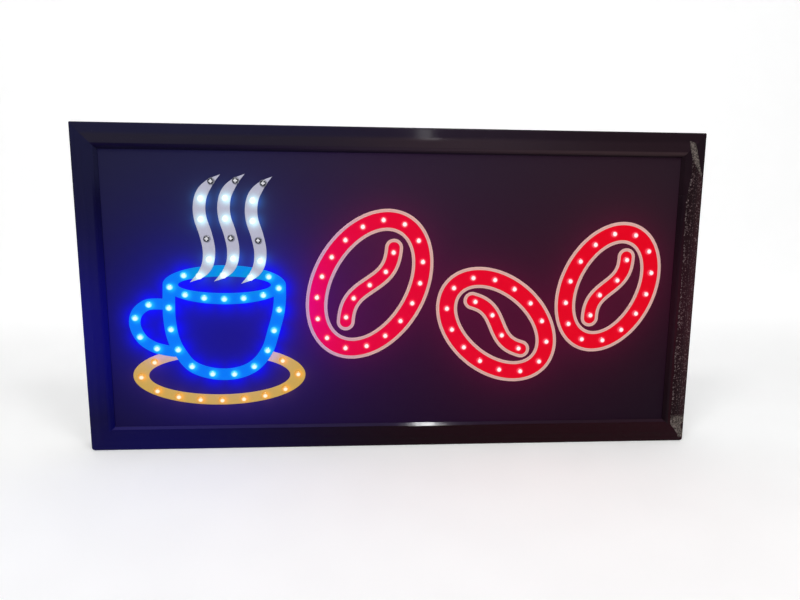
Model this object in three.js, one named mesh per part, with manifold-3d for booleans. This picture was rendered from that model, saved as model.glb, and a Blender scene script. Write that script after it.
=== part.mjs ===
// Illuminated sign: strings of small lamps shine through a drilled panel that sits in a moulded frame.
// Millimetres, +Z up. X runs along the sign, Y from its front to its back, and the sign stands on Z = 0.
import * as THREE from "three";
import { mergeVertices } from "three/addons/utils/BufferGeometryUtils.js";
import Module from "manifold-3d";

// Overall
const signWidth = 480;
const signHeight = 250;
const signDepth = 22;
const fitGap = 0.3;
const overrun = 0.8;

// Frame
const frameWall = 2.4;
const edgeDrop = 1.8;
const edgeRound = 1.5;
const ridgeInset = 9;
const ridgeSoftening = 1.2;
const bevelInset = 17.1;
const bevelRun = 2.1;
const bevelFall = 2.3;
const lipEdge = 0.5;
const panelInset = 12;
const locatingRibWall = 1.5;
const locatingRibReach = 2;
const topCornerRadius = 1;
const bottomCornerRadius = 2.4;
const cornerSteps = 3;
const edgeSteps = 4;

// Panel and cover
const panelThickness = 3;
const coverThickness = 2.5;
const coverRecess = 3;
const ventLength = 34;
const ventWidth = 3;
const ventPitch = 9;
const ventCount = 4;
const ventInset = 122;
const postRadius = 2.6;
const postSideInset = 27;
const postEndInset = 26;

// Cover screws and their bosses
const bossRadius = 3.4;
const bossSteps = 8;
const bossInset = 6;
const bossFromCorner = 16;
const screwRadius = 1.2;
const screwLength = 9;
const screwHeadRadius = 2.9;
const screwHeadHeight = 1.5;
const fastenerSteps = 6;

// Lamps, the strips that carry them and the film figures
const lampRadius = 2.5;
const lampStand = 2.2;
const domeHeight = 1.4;
const lampSides = 6;
const stripWidth = 7;
const stripThickness = 1;
const filmThickness = 0.3;

// The figures' layout on the panel: its size, and its margins from the sign's own edges
const layoutWidth = 418;
const layoutHeight = 178;
const layoutSideMargin = 31;
const layoutEndMargin = 36;

// Cup, steam and saucer, placed from the middle of the panel
const rimX = -132.8;
const rimZ = 6;
const rimWidth = 92.6;
const rimHeight = 30;
const rimSideBand = 11.3;
const rimFrontBand = 8.6;
const cupBand = 9.2;
const cupDepth = 73.9;
const handleReach = 26.6;
const handleBand = 8.4;
const wispHeight = 80.6;
const wispReach = 25.3;
const wispBand = 9.4;
const saucerOverhang = 19.7;
const saucerHeight = 47.6;
const saucerSideBand = 11.8;
const saucerFrontBand = 8.2;
const saucerDrop = 71;
const saucerShift = 5.9;

// Beans, placed from the middle of the panel
const largeBeanLength = 120;
const largeBeanWidth = 84;
const smallBeanLength = 104;
const smallBeanWidth = 74;
const beanBand = 12;
const creaseBand = 9;
const largeBeanX = -22;
const largeBeanZ = 6;
const largeBeanTilt = 1.05;
const lowBeanX = 79;
const lowBeanZ = -26;
const lowBeanTilt = 2.44;
const highBeanX = 168;
const highBeanZ = 4;
const highBeanTilt = 1.13;

// Slide switch
const switchHeight = 48.2;
const switchDepth = 12.4;
const switchTravel = 2;
const knobReach = 3.2;
const knobLength = 3.4;
const knobWidth = 3;
const knobTaperShare = 0.62;
const carriageLength = 5;
const carriageWidth = 4.4;
const carriageThickness = 1.4;
const caseWall = 0.8;
const caseEnd = 1.6;
const caseBack = 2.2;
const legLength = 2.4;
const legWidth = 0.8;
const casePocketWall = 1.4;

// Inlet socket
const inletHeight = 26;
const inletDepth = 11.2;
const inletBody = 9;
const inletBodyLength = 12;
const inletSnoutRadius = 3.9;
const inletBoreRadius = 2.8;
const inletBoreDepth = 9;
const inletPinRadius = 1;
const inletPinReach = 7.5;
const inletSteps = 10;

// Controller board
const boardX = -34;
const boardDrop = 81;
const boardWidth = 56;
const boardHeight = 34;
const boardThickness = 1.6;
const standoffHeight = 3;
const standoffRadius = 2.5;
const standoffInset = 4;
const boardScrewRadius = 0.9;
const boardScrewLength = 4;
const boardScrewHeadRadius = 1.7;
const boardScrewHeadHeight = 1;
const chipLength = 9.6;
const chipWidth = 6.4;
const chipHeight = 3.2;
const chipDraft = 0.4;
const capacitorRadius = 2;
const capacitorLength = 9;
const capacitorSteps = 8;
const transistorWidth = 4.5;
const transistorLength = 3.2;
const transistorHeight = 1.5;
const headerPitch = 3.2;
const headerDepth = 4.6;
const headerHeight = 3.6;
const pinCount = 9;

// Leads
const leadRadius = 0.6;
const leadSides = 4;
const leadSteps = 6;
const leadDrop = 5;
const leadRise = 8;

// Hangers
const hangerInset = 90;
const hangerFromTop = 26;
const hangerLength = 46;
const hangerHeight = 9;
const hangerGauge = 0.8;
const hangerRise = 1.4;
const hangerEar = 9;
const hangerRamp = 2;
const toothCount = 5;
const toothDepth = 2;
const rivetRadius = 1;
const rivetHeadRadius = 2;
const rivetHeadHeight = 0.8;
const rivetLength = 2;

// Places along Y, worked out from the sizes above
const panelFront = bevelFall + lipEdge;
const panelBack = panelFront + panelThickness;
const coverBack = signDepth - coverRecess;
const coverFront = coverBack - coverThickness;
const stripBack = panelBack + stripThickness;
const boardBack = coverFront - standoffHeight;
const boardFront = boardBack - boardThickness;

// Other sizes that follow from those above
const boardZ = signHeight / 2 - boardDrop;
const saucerWidth = rimWidth + 2 * saucerOverhang;
const hangerX = signWidth / 2 - hangerInset;
const ventX = signWidth / 2 - ventInset;

// The figures' own sizes and places as they come out on this sign; bands and lamps keep their widths.
const figureScale = Math.min(
  (signWidth - 2 * layoutSideMargin) / layoutWidth,
  (signHeight - 2 * layoutEndMargin) / layoutHeight,
);
const drawn = Object.fromEntries(Object.entries({
  rimX,
  rimZ,
  rimWidth,
  rimHeight,
  cupDepth,
  handleReach,
  wispHeight,
  wispReach,
  saucerWidth,
  saucerHeight,
  saucerDrop,
  saucerShift,
  largeBeanX,
  largeBeanZ,
  largeBeanLength,
  largeBeanWidth,
  lowBeanX,
  lowBeanZ,
  highBeanX,
  highBeanZ,
  smallBeanLength,
  smallBeanWidth,
}).map(([name, length]) => [name, length * figureScale]));

// Counts of lamps, and of steps along each curve
const wispLampCount = 6;
const cupSideLampCount = 10;
const handleLampCount = 4;
const saucerLampCount = 11;
const largeBeanLampCounts = [17, 5];
const smallBeanLampCounts = [14, 4];
const wispSteps = 12;
const rimSteps = 18;
const cupSteps = 16;
const handleSteps = 10;
const saucerSteps = 20;
const beanSteps = 22;
const creaseSteps = 10;

// Figure outlines and lamp places, as shares of the sizes named above
const wispCentreShares = [
  [0, 0], [0.35, 0.08], [0.545, 0.175], [0.595, 0.309], [0.515, 0.453],
  [0.38, 0.597], [0.362, 0.714], [0.452, 0.825], [0.691, 0.924], [1, 1],
];
const wispFootShares = [[-0.278, 0.067], [-0.083, 0.087], [0.136, 0.03]];
const wispEndShare = 0.09;
const wispBluntShare = 0.3;
const cupSideShares = [
  [-0.45, 0], [-0.457, -0.17], [-0.459, -0.355], [-0.438, -0.55], [-0.388, -0.705], [-0.286, -0.866],
  [-0.116, -0.943], [0.07, -0.941], [0.224, -0.86], [0.334, -0.694],
  [0.391, -0.484], [0.432, -0.3], [0.448, -0.15], [0.45, 0],
];
const cupLampShares = [0.094, 0.897];
const rimLampTurnShares = [0.38, 0.524, 0.622, 0.688, 0.747, 0.804, 0.871, 0.965, 1.103];
const rimStripTurnShares = [0.36, 1.12];
const handleShares = [
  [0.117, -0.203], [-0.3, -0.2], [-0.519, -0.218], [-0.737, -0.283], [-0.835, -0.373],
  [-0.797, -0.476], [-0.624, -0.581], [-0.338, -0.652], [-0.034, -0.686], [0.286, -0.706],
];
const handleLampShares = [0.19, 0.806];
const saucerTurnShares = [0.332, 1.153];
const saucerLampTurnShares = [0.404, 1.102];
const saucerStripTurnShares = [0.388, 1.118];
const chipPlaceShares = [-0.05, -0.18];
const capacitorPlaceShares = [0.27, -0.2];
const transistorPlaceShares = [[-0.38, 0], [-0.27, 0], [-0.38, -0.16]];
const ridgeRiseShare = 0.3;
const creaseReachShare = 0.8;
const creaseSwayShare = 0.1;
const creaseEndShare = 0.1;
const creaseBluntShare = 0.25;
const leadLampShares = [1, 0.77, 0.2, 0.2, 0.2, 0.43, 0, 0.47];

const wasm = await Module();
wasm.setup();

// A mesh with shared corners and no flat triangles, ready to be cut or joined.
function tidy(geometry) {
  const bare = geometry.clone();
  for (const name of Object.keys(bare.attributes)) {
    if (name !== "position") bare.deleteAttribute(name);
  }
  bare.clearGroups();
  const merged = mergeVertices(bare, fitGap / 1000);
  const kept = [];
  const index = merged.index.array;
  for (let i = 0; i < index.length; i += 3) {
    const [a, b, c] = [index[i], index[i + 1], index[i + 2]];
    if (a !== b && b !== c && c !== a) kept.push(a, b, c);
  }
  merged.setIndex(kept);
  return merged;
}

function toSolid(geometry) {
  const merged = tidy(geometry);
  return new wasm.Manifold(new wasm.Mesh({
    numProp: 3,
    vertProperties: new Float32Array(merged.attributes.position.array),
    triVerts: new Uint32Array(merged.index.array),
  }));
}

function toGeometry(solid) {
  const mesh = solid.getMesh();
  const geometry = new THREE.BufferGeometry();
  geometry.setAttribute("position", new THREE.BufferAttribute(new Float32Array(mesh.vertProperties), 3));
  geometry.setIndex(new THREE.BufferAttribute(new Uint32Array(mesh.triVerts), 1));
  return geometry;
}

const join = (...geometries) => toGeometry(geometries.map(toSolid).reduce((a, b) => a.add(b)));
const cut = (geometry, ...tools) => {
  return toGeometry(tools.map(toSolid).reduce((a, b) => a.subtract(b), toSolid(geometry)));
};

// Turns a shape, or several, drawn from the middle of the panel into a plate between two depths.
function plate(shape, front, thickness) {
  const options = { depth: thickness, bevelEnabled: false, curveSegments: 1 };
  const geometry = new THREE.ExtrudeGeometry(shape, options);
  const position = geometry.attributes.position;
  for (let i = 0; i < position.count; i++) {
    const [x, up, along] = [position.getX(i), position.getY(i), position.getZ(i)];
    position.setXYZ(i, x, front + thickness - along, up + signHeight / 2);
  }
  return geometry;
}

function box(x0, x1, y0, y1, z0, z1) {
  const geometry = new THREE.BoxGeometry(x1 - x0, y1 - y0, z1 - z0);
  return geometry.translate((x0 + x1) / 2, (y0 + y1) / 2, (z0 + z1) / 2);
}

// A turned piece about Y: the profile holds pairs of radius and depth.
function turned(profile, steps, x, z) {
  const points = profile.map(([radius, y]) => new THREE.Vector2(radius, y));
  return new THREE.LatheGeometry(points, steps).translate(x, 0, z);
}

const peg = (radius, y0, y1, steps, x, z) => {
  return turned([[0, y0], [radius, y0], [radius, y1], [0, y1]], steps, x, z);
};

const sized = (shares, width, height, x, z) => {
  return shares.map(([u, v]) => new THREE.Vector2(x + u * width, z + v * height));
};

// Points of an ellipse from one turn share to another, anticlockwise from its right end.
function ellipse(x, z, width, height, from, to, steps) {
  return Array.from({ length: steps + 1 }, (_, i) => {
    const turn = 2 * Math.PI * (from + ((to - from) * i) / steps);
    return new THREE.Vector2(x + (width / 2) * Math.cos(turn), z + (height / 2) * Math.sin(turn));
  });
}

const smooth = (points) => new THREE.SplineCurve(points);

// The two sides of a band that follows a centre line; its width may change along it.
function bandSides(curve, steps, halfWidth) {
  const left = [];
  const right = [];
  for (let i = 0; i <= steps; i++) {
    const along = i / steps;
    const point = curve.getPointAt(along);
    const side = curve.getTangentAt(along);
    const reach = halfWidth(along);
    left.push(new THREE.Vector2(point.x - side.y * reach, point.y + side.x * reach));
    right.push(new THREE.Vector2(point.x + side.y * reach, point.y - side.x * reach));
  }
  return { left, right };
}

function band(curve, steps, width) {
  const { left, right } = bandSides(curve, steps, () => width / 2);
  return new THREE.Shape([...left, ...right.reverse()]);
}

// A band that runs out to a point at each end, blunter for a smaller share.
function pointedBand(curve, steps, width, blunt) {
  const reach = (along) => (width / 2) * Math.sin(Math.PI * along) ** blunt;
  const { left, right } = bandSides(curve, steps, reach);
  return new THREE.Shape([...left, ...right.slice(1, -1).reverse()]);
}

// A path through lamps that runs on past the first and the last of them by half a strip's width.
function lampPath(lamps) {
  const past = (end, before) => end.clone().add(end.clone().sub(before).setLength(stripWidth / 2));
  const last = lamps.length - 1;
  return smooth([past(lamps[0], lamps[1]), ...lamps, past(lamps[last], lamps[last - 1])]);
}

// Places at equal steps along a curve, between two shares of its length.
function spaced(curve, count, from, to) {
  return Array.from({ length: count }, (_, i) => curve.getPointAt(from + ((to - from) * i) / (count - 1)));
}

function ringOutline(inset) {
  const points = [];
  const corners = [[1, 1], [-1, 1], [-1, -1], [1, -1]];
  corners.forEach(([sideX, sideZ], corner) => {
    const radius = Math.max((sideZ > 0 ? topCornerRadius : bottomCornerRadius) - inset, 0);
    const x = sideX * (signWidth / 2 - inset - radius);
    const z = signHeight / 2 + sideZ * (signHeight / 2 - inset - radius);
    for (let i = 0; i <= cornerSteps; i++) {
      const turn = (corner + i / cornerSteps) * (Math.PI / 2);
      points.push([x + radius * Math.cos(turn), z + radius * Math.sin(turn)]);
    }
  });
  return points;
}

// The frame's section, as pairs of inset from the outer edge and depth, is carried round the sign.
function mouldedRing(section) {
  const rings = section.map(([inset, y]) => ringOutline(inset).map(([x, z]) => [x, y, z]));
  const count = rings[0].length;
  const vertices = rings.flat(2);
  const index = [];
  rings.forEach((_, j) => {
    const next = (j + 1) % rings.length;
    for (let i = 0; i < count; i++) {
      const step = (i + 1) % count;
      index.push(j * count + i, next * count + step, next * count + i);
      index.push(j * count + i, j * count + step, next * count + step);
    }
  });
  const geometry = new THREE.BufferGeometry();
  geometry.setAttribute("position", new THREE.Float32BufferAttribute(vertices, 3));
  geometry.setIndex(index);
  return tidy(geometry);
}

// Bosses stand in the four corners and in the middle of the top and bottom rails.
function bossPlaces() {
  const sideX = signWidth / 2 - bossFromCorner;
  return [-sideX, 0, sideX].flatMap((x) => [[x, bossInset], [x, signHeight - bossInset]]);
}

function switchParts() {
  const outer = -signWidth / 2;
  const face = outer + frameWall;
  const cavityStart = face + caseWall;
  const cavityEnd = cavityStart + carriageThickness + 2 * fitGap;
  const slotHalf = [knobWidth / 2 + fitGap, knobLength / 2 + switchTravel + fitGap];
  const cavityHalf = [carriageWidth / 2 + fitGap, carriageLength / 2 + switchTravel + fitGap];
  const caseHalf = [cavityHalf[0] + caseWall, cavityHalf[1] + caseEnd];
  const caseX = cavityEnd + caseBack;
  return { outer, face, cavityStart, cavityEnd, slotHalf, cavityHalf, caseHalf, caseX };
}

function centredBox(x0, x1, [halfY, halfZ], y, z) {
  return box(x0, x1, y - halfY, y + halfY, z - halfZ, z + halfZ);
}

// The rounded outer edge, from the side wall to the start of the outer slope.
function edgeRounding() {
  return Array.from({ length: edgeSteps + 1 }, (_, i) => {
    const turn = (i / edgeSteps) * (Math.PI / 2);
    return [edgeRound * (1 - Math.cos(turn)), edgeDrop + edgeRound * (1 - Math.sin(turn))];
  });
}

function frontFrame() {
  const flange = frameWall + edgeDrop;
  const slope = edgeDrop / (ridgeInset - edgeRound);
  const ribOuter = panelInset - fitGap;
  const ribInner = ribOuter - locatingRibWall;
  const ring = mouldedRing([
    [0, signDepth],
    ...edgeRounding(),
    [ridgeInset - ridgeSoftening, slope * ridgeSoftening],
    [ridgeInset, slope * ridgeSoftening * ridgeRiseShare],
    [ridgeInset + ridgeSoftening, 0],
    [bevelInset, 0],
    [bevelInset + bevelRun, bevelFall],
    [bevelInset + bevelRun, panelFront],
    [ribOuter, panelFront],
    [ribOuter, panelFront + locatingRibReach],
    [ribInner, panelFront + locatingRibReach],
    [ribInner, frameWall],
    [frameWall, flange],
    [frameWall, signDepth],
  ]);
  const bosses = bossPlaces().map(([x, z]) => {
    return peg(bossRadius, frameWall - overrun, coverFront, bossSteps, x, z);
  });
  const pilots = bossPlaces().map(([x, z]) => {
    return peg(screwRadius + fitGap, coverFront - screwLength, coverFront + overrun, fastenerSteps, x, z);
  });
  const { outer, face, slotHalf, caseHalf, caseX } = switchParts();
  const pocket = [-1, 1].map((side) => {
    const near = switchHeight + side * (caseHalf[1] + fitGap);
    const far = near + side * casePocketWall;
    const y1 = switchDepth + caseHalf[0];
    return box(face - overrun, caseX, panelBack + fitGap, y1, Math.min(near, far), Math.max(near, far));
  });
  const slot = centredBox(outer - overrun, face + overrun, slotHalf, switchDepth, switchHeight);
  const inletHole = new THREE.CylinderGeometry(
    inletSnoutRadius + fitGap, inletSnoutRadius + fitGap, frameWall + 2 * overrun, inletSteps,
  ).rotateZ(Math.PI / 2).translate(outer + frameWall / 2, inletDepth, inletHeight);
  return cut(join(ring, ...bosses, ...pocket), ...pilots, slot, inletHole);
}

// Every figure: the films that show, where its lamps stand and the strips that carry them.
function wispFigure([footX, footZ]) {
  const foot = [drawn.rimX + footX * drawn.rimWidth, drawn.rimZ + footZ * drawn.rimHeight];
  const curve = smooth(sized(wispCentreShares, drawn.wispReach, drawn.wispHeight, ...foot));
  const lamps = spaced(curve, wispLampCount, wispEndShare, 1 - wispEndShare);
  return {
    film: [pointedBand(curve, wispSteps, wispBand, wispBluntShare)],
    lamps,
    strips: [band(lampPath(lamps), wispLampCount + 1, stripWidth)],
  };
}

function closedBand(outline, inline) {
  const shape = new THREE.Shape(outline.slice(0, -1));
  shape.holes.push(new THREE.Path(inline.slice(0, -1)));
  return shape;
}

function openBand(outline, inline) {
  return new THREE.Shape([...outline, ...inline.reverse()]);
}

const cupCurve = () => smooth(sized(cupSideShares, drawn.rimWidth, drawn.cupDepth, drawn.rimX, drawn.rimZ));
const handleCurve = () => {
  const x = drawn.rimX - drawn.rimWidth / 2;
  return smooth(sized(handleShares, drawn.handleReach, drawn.cupDepth, x, drawn.rimZ));
};

function cupFigure() {
  const outline = ellipse(drawn.rimX, drawn.rimZ, drawn.rimWidth, drawn.rimHeight, 0, 1, rimSteps);
  const inner = [drawn.rimWidth - 2 * rimSideBand, drawn.rimHeight - 2 * rimFrontBand];
  const inline = ellipse(drawn.rimX, drawn.rimZ, ...inner, 0, 1, rimSteps);
  const middle = [drawn.rimWidth - cupBand, drawn.rimHeight - rimFrontBand];
  const turns = rimLampTurnShares;
  const rimLamps = turns.map((turn) => ellipse(drawn.rimX, drawn.rimZ, ...middle, turn, turn, 1)[0]);
  const rimStrip = (side) => {
    const size = middle.map((length) => length + side * stripWidth);
    return ellipse(drawn.rimX, drawn.rimZ, ...size, ...rimStripTurnShares, rimLamps.length + 2);
  };
  const side = cupCurve();
  const handle = handleCurve();
  const sideLamps = spaced(side, cupSideLampCount, ...cupLampShares);
  const handleLamps = spaced(handle, handleLampCount, ...handleLampShares);
  return {
    film: [closedBand(outline, inline), band(side, cupSteps, cupBand), band(handle, handleSteps, handleBand)],
    lamps: [...rimLamps, ...sideLamps, ...handleLamps],
    strips: [
      openBand(rimStrip(1), rimStrip(-1)),
      band(side, cupSideLampCount + 1, stripWidth),
      band(handle, handleSteps - 2, stripWidth),
    ],
  };
}

// The saucer passes behind the cup, so its film stops at the cup's and the handle's own edges.
function saucerFigure() {
  const [x, z] = [drawn.rimX - drawn.saucerShift, drawn.rimZ - drawn.saucerDrop];
  const inner = [drawn.saucerWidth - 2 * saucerSideBand, drawn.saucerHeight - 2 * saucerFrontBand];
  const outline = ellipse(x, z, drawn.saucerWidth, drawn.saucerHeight, ...saucerTurnShares, saucerSteps);
  const inline = ellipse(x, z, ...inner, ...saucerTurnShares, saucerSteps);
  const middle = [drawn.saucerWidth - saucerSideBand, drawn.saucerHeight - saucerFrontBand];
  const path = smooth(ellipse(x, z, ...middle, ...saucerLampTurnShares, saucerSteps));
  const strip = (side) => {
    const size = middle.map((length) => length + side * stripWidth);
    return ellipse(x, z, ...size, ...saucerStripTurnShares, saucerSteps);
  };
  return {
    film: [openBand(outline, inline)],
    hiddenBy: [
      band(cupCurve(), cupSteps, cupBand + 2 * fitGap),
      band(handleCurve(), handleSteps, handleBand + 2 * fitGap),
    ],
    lamps: spaced(path, saucerLampCount, 0, 1),
    strips: [openBand(strip(1), strip(-1))],
  };
}

// A bean: an oval band with a swaying crease along its middle, turned about its own centre.
// The crease's strip runs on to the oval's, so that one string lights both.
function beanFigure([x, z], [length, width], tilt, [ovalLampCount, creaseLampCount]) {
  const centre = new THREE.Vector2(x, z);
  const turned2d = (points) => points.map((point) => point.add(centre).rotateAround(centre, tilt));
  const oval = (inset) => turned2d(ellipse(0, 0, length - 2 * inset, width - 2 * inset, 0, 1, beanSteps));
  const creaseReach = creaseReachShare * (length - 2 * beanBand);
  const creaseSway = creaseSwayShare * (width - 2 * beanBand);
  const crease = smooth(turned2d(Array.from({ length: creaseSteps + 1 }, (_, i) => {
    const along = i / creaseSteps;
    return new THREE.Vector2((along - 1 / 2) * creaseReach, creaseSway * Math.sin(2 * Math.PI * along));
  })));
  const ovalLamps = spaced(smooth(oval(beanBand / 2)), ovalLampCount + 1, 0, 1).slice(0, -1);
  const creaseLamps = spaced(crease, creaseLampCount, creaseEndShare, 1 - creaseEndShare);
  const bridge = smooth([...creaseLamps, ovalLamps[0]]);
  return {
    film: [closedBand(oval(0), oval(beanBand))],
    crease: [pointedBand(crease, creaseSteps, creaseBand, creaseBluntShare)],
    lamps: [...ovalLamps, ...creaseLamps],
    strips: [
      closedBand(oval((beanBand - stripWidth) / 2), oval((beanBand + stripWidth) / 2)),
      band(bridge, creaseLampCount, stripWidth),
    ],
  };
}

const largeBean = [drawn.largeBeanLength, drawn.largeBeanWidth];
const smallBean = [drawn.smallBeanLength, drawn.smallBeanWidth];
const figures = {
  steam_left: wispFigure(wispFootShares[0]),
  steam_middle: wispFigure(wispFootShares[1]),
  steam_right: wispFigure(wispFootShares[2]),
  cup: cupFigure(),
  saucer: saucerFigure(),
  large_bean: beanFigure([drawn.largeBeanX, drawn.largeBeanZ], largeBean, largeBeanTilt, largeBeanLampCounts),
  low_bean: beanFigure([drawn.lowBeanX, drawn.lowBeanZ], smallBean, lowBeanTilt, smallBeanLampCounts),
  high_bean: beanFigure([drawn.highBeanX, drawn.highBeanZ], smallBean, highBeanTilt, smallBeanLampCounts),
};

// The corners of a hole round a turned piece, in line with that piece's own corners.
function holeCorners({ x, y }, radius, steps) {
  return ellipse(x, y, 2 * radius, 2 * radius, 1 / 4, 1 / 4 + 1, steps).slice(0, -1);
}

const lampHole = (lamp) => holeCorners(lamp, lampRadius + fitGap, lampSides);

const allLamps = Object.values(figures).flatMap((figure) => figure.lamps);

const lampHoles = (front, thickness) => {
  const shapes = allLamps.map((lamp) => new THREE.Shape(lampHole(lamp)));
  return plate(shapes, front - overrun, thickness + 2 * overrun);
};

const rectangle = (halfX, halfZ, x = 0, z = 0) => [
  new THREE.Vector2(x + halfX, z + halfZ),
  new THREE.Vector2(x - halfX, z + halfZ),
  new THREE.Vector2(x - halfX, z - halfZ),
  new THREE.Vector2(x + halfX, z - halfZ),
];

function signPanel() {
  const shape = new THREE.Shape(rectangle(signWidth / 2 - panelInset, signHeight / 2 - panelInset));
  shape.holes.push(...allLamps.map((lamp) => new THREE.Path(lampHole(lamp))));
  return plate(shape, panelFront, panelThickness);
}

// A film lies on the panel, or on the films under it where its layer is a higher one.
function film(shapes, layer, hiddenBy = []) {
  const front = panelFront - layer * filmThickness;
  const pieces = shapes.map((shape) => plate(shape, front, filmThickness));
  const covers = hiddenBy.map((shape) => plate(shape, front - overrun, filmThickness + 2 * overrun));
  return cut(join(...pieces), lampHoles(front, filmThickness), ...covers);
}

// A string of lamps: strips against the back of the panel, with a domed lamp through every hole.
function lampString({ lamps, strips }) {
  const crown = panelFront - lampStand;
  const shoulder = crown + domeHeight;
  const foot = panelBack + stripThickness / 2;
  const profile = [[0, crown], [lampRadius, shoulder], [lampRadius, foot], [0, foot]];
  const domes = lamps.map((lamp) => turned(profile, lampSides, lamp.x, lamp.y + signHeight / 2));
  return join(...strips.map((shape) => plate(shape, panelBack, stripThickness)), ...domes);
}

// Fastener along Y from its tip to its crown, with its head's seat in between.
function fastener(radius, headRadius, tip, seat, crown, x, z) {
  const shank = [[0, tip], [radius, tip], [radius, seat]];
  const profile = [...shank, [headRadius, seat], [headRadius, crown], [0, crown]];
  return turned(tip < crown ? profile : profile.reverse(), fastenerSteps, x, z);
}

const boardCorner = (sideX, sideZ) => [
  boardX + sideX * (boardWidth / 2 - standoffInset),
  boardZ + sideZ * (boardHeight / 2 - standoffInset),
];
const boardCorners = [boardCorner(-1, 1), boardCorner(1, -1), boardCorner(1, 1), boardCorner(-1, -1)];
const boardScrewPlaces = boardCorners.slice(0, 2);

function hangerRivetPlaces() {
  const reach = (hangerLength - hangerEar) / 2;
  const z = signHeight - hangerFromTop;
  return [-hangerX, hangerX].flatMap((x) => [[x - reach, z], [x + reach, z]]);
}

function backCover() {
  const inset = frameWall + fitGap;
  const shape = new THREE.Shape(rectangle(signWidth / 2 - inset, signHeight / 2 - inset));
  shape.holes.push(...bossPlaces().map(([x, z]) => new THREE.Path(
    holeCorners(new THREE.Vector2(x, z - signHeight / 2), screwRadius + fitGap, fastenerSteps),
  )));
  const vents = [-1, 1].flatMap((side) => Array.from({ length: ventCount }, (_, i) => {
    const z = (i - (ventCount - 1) / 2) * ventPitch;
    return new THREE.Shape(rectangle(ventLength / 2, ventWidth / 2, side * ventX, z));
  }));
  const ventCutter = plate(vents, coverFront - overrun, coverThickness + 2 * overrun);
  const sheet = plate(shape, coverFront, coverThickness);
  const postX = signWidth / 2 - postSideInset;
  const posts = [-postX, 0, postX].flatMap((x) => [postEndInset, signHeight - postEndInset].map((z) => {
    return peg(postRadius, panelBack + fitGap, coverFront + overrun, fastenerSteps, x, z);
  }));
  const standoffs = boardCorners.map(([x, z]) => {
    return peg(standoffRadius, boardBack, coverFront + overrun, bossSteps, x, z);
  });
  const pilots = boardScrewPlaces.map(([x, z]) => {
    const end = boardFront + boardScrewLength + fitGap;
    return peg(boardScrewRadius + fitGap, boardBack - overrun, end, fastenerSteps, x, z);
  });
  const rivetHoles = hangerRivetPlaces().map(([x, z]) => {
    const end = coverBack - rivetLength - fitGap;
    return peg(rivetRadius + fitGap, end, coverBack + overrun, fastenerSteps, x, z);
  });
  return cut(join(sheet, ...posts, ...standoffs), ventCutter, ...pilots, ...rivetHoles);
}

function switchHousing() {
  const { face, cavityStart, cavityEnd, slotHalf, cavityHalf, caseHalf, caseX } = switchParts();
  const shell = centredBox(face, caseX, caseHalf, switchDepth, switchHeight);
  const cavity = centredBox(cavityStart, cavityEnd, cavityHalf, switchDepth, switchHeight);
  const slot = centredBox(face - overrun, cavityStart + overrun, slotHalf, switchDepth, switchHeight);
  const legs = [-1, 0, 1].map((step) => {
    const z = switchHeight + (step * caseHalf[1]) / 2;
    return centredBox(caseX - overrun, caseX + legLength, [legWidth / 2, legWidth / 2], switchDepth, z);
  });
  return cut(join(shell, ...legs), cavity, slot);
}

function switchSlider() {
  const { outer, cavityStart } = switchParts();
  const start = cavityStart + fitGap;
  const half = knobLength / 2;
  const knob = plate(new THREE.Shape([
    new THREE.Vector2(start + overrun, half),
    new THREE.Vector2(outer, half),
    new THREE.Vector2(outer - knobReach, half * knobTaperShare),
    new THREE.Vector2(outer - knobReach, -half * knobTaperShare),
    new THREE.Vector2(outer, -half),
    new THREE.Vector2(start + overrun, -half),
  ]), switchDepth - knobWidth / 2, knobWidth).translate(0, 0, switchHeight - signHeight / 2);
  const carriage = [carriageWidth / 2, carriageLength / 2];
  return join(knob, centredBox(start, start + carriageThickness, carriage, switchDepth, switchHeight));
}

// The inlet: a block behind the side wall, a round snout through it, and a centre pin in its bore.
function inletSocket() {
  const outer = -signWidth / 2;
  const face = outer + frameWall;
  const rod = (radius, x0, x1) => new THREE.CylinderGeometry(radius, radius, x1 - x0, inletSteps)
    .rotateZ(Math.PI / 2).translate((x0 + x1) / 2, inletDepth, inletHeight);
  const half = [inletBody / 2, inletBody / 2];
  const body = centredBox(face, face + inletBodyLength, half, inletDepth, inletHeight);
  const snout = rod(inletSnoutRadius, outer, face + overrun);
  const bore = rod(inletBoreRadius, outer - overrun, outer + inletBoreDepth);
  const pin = rod(inletPinRadius, outer + inletBoreDepth - inletPinReach, outer + inletBoreDepth + overrun);
  return join(cut(join(body, snout), bore), pin);
}

function controllerBoard() {
  const [x, z] = [boardX, boardZ - signHeight / 2];
  const shape = new THREE.Shape(rectangle(boardWidth / 2, boardHeight / 2, x, z));
  const radius = boardScrewRadius + fitGap;
  const holes = boardScrewPlaces.map(([holeX, holeZ]) => {
    return peg(radius, boardFront - overrun, boardBack + overrun, fastenerSteps, holeX, holeZ);
  });
  return cut(plate(shape, boardFront, boardThickness), ...holes);
}

// A moulded package whose four sides slope in towards its top.
function chipBlock([width, length], height, [x, z]) {
  const corners = (inset, y) => {
    return rectangle(width / 2 - inset, length / 2 - inset, x, z).map((point) => [point.x, y, point.y]);
  };
  const low = corners(0, boardFront);
  const high = corners(chipDraft, boardFront - height);
  const vertices = [...low, ...high];
  const index = [2, 1, 0, 3, 2, 0, 4, 5, 6, 4, 6, 7];
  for (let i = 0; i < low.length; i++) {
    const next = (i + 1) % low.length;
    index.push(i, next, i + low.length, next, next + low.length, i + low.length);
  }
  const geometry = new THREE.BufferGeometry();
  geometry.setAttribute("position", new THREE.Float32BufferAttribute(vertices.flat(), 3));
  geometry.setIndex(index);
  return geometry;
}

const boardPlace = ([shareX, shareZ]) => [boardX + shareX * boardWidth, boardZ + shareZ * boardHeight];

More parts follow.
